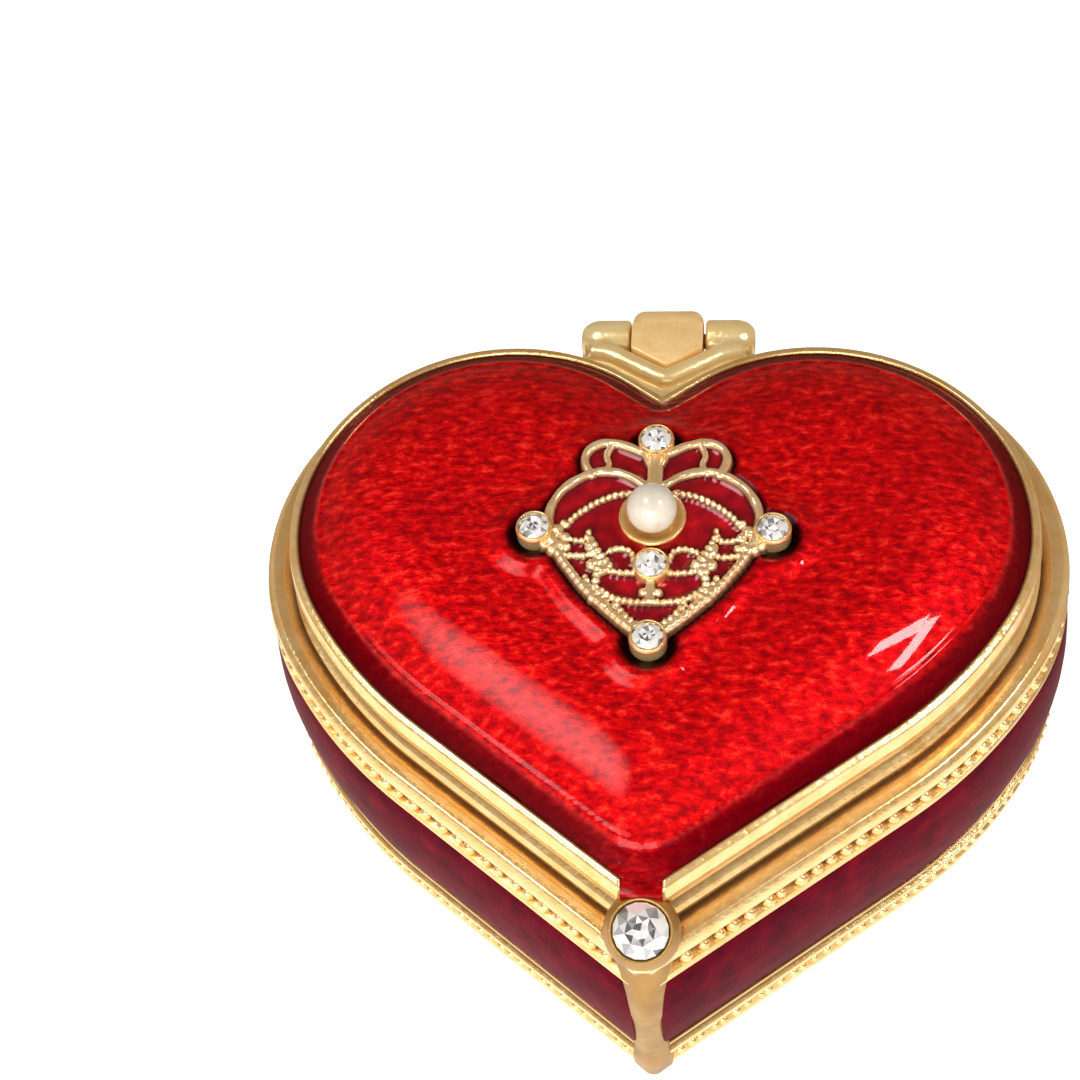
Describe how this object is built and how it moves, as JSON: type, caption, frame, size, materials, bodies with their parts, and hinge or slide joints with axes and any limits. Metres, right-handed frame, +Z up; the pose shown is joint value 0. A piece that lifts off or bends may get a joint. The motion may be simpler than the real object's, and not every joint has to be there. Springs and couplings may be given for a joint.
{
  "type": "heart-shaped enamelled trinket box",
  "caption": "Heart-shaped gilt metal trinket box with red enamel, a hinged domed lid, a magnetic catch, and a pearl and crystal ornament on the lid.",
  "frame": {"origin": "middle of the flat underside of the base, on the table", "axes": "+Z up through the lid, -Y towards the point of the heart, +Y towards the hinge, +X to the right"},
  "size_m": [0.06, 0.0552, 0.0299],
  "materials": {
    "gilt": "polished pale gold plating",
    "brushed_gilt": "matte brushed gold plating",
    "ruby_enamel": "translucent ruby enamel over a hammered ground",
    "wine_enamel": "glossy wine-red enamel",
    "pearl_enamel": "pearlescent ivory enamel with swirls",
    "magnet_steel": "nickel-plated magnet face",
    "crystal": "clear faceted crystal with a foiled back",
    "pearl": "lustrous imitation pearl"
  },
  "bodies": {
    "base": {"base_casting": "gilt", "side_enamel_left": "wine_enamel", "side_enamel_right": "wine_enamel", "base_lining": "pearl_enamel", "base_magnet_post": "gilt", "base_magnet": "magnet_steel", "hinge_arm_left": "gilt", "hinge_arm_right": "gilt", "hinge_pin": "gilt"},
    "lid": {"lid_casting": "gilt", "lid_enamel": "ruby_enamel", "lid_lining": "pearl_enamel", "lid_magnet_cup": "gilt", "lid_magnet": "magnet_steel", "lid_hinge_leaf": "brushed_gilt", "thumb_ball": "gilt", "thumb_crystal": "crystal", "ornament_filigree": "gilt", "ornament_enamel": "ruby_enamel", "pearl_cup": "gilt", "pearl_peg": "gilt", "pearl": "pearl", "bezel_top": "gilt", "bezel_left": "gilt", "bezel_right": "gilt", "bezel_centre": "gilt", "bezel_bottom": "gilt", "crystal_top": "crystal", "crystal_left": "crystal", "crystal_right": "crystal", "crystal_centre": "crystal", "crystal_bottom": "crystal"}
  },
  "joints": [
    {"name": "lid_hinge", "type": "hinge", "parent": "base", "child": "lid", "pos_m": [0, 0.0268, 0.0176], "axis": [-1, 0, 0], "range_deg": [0, 100]}
  ]
}
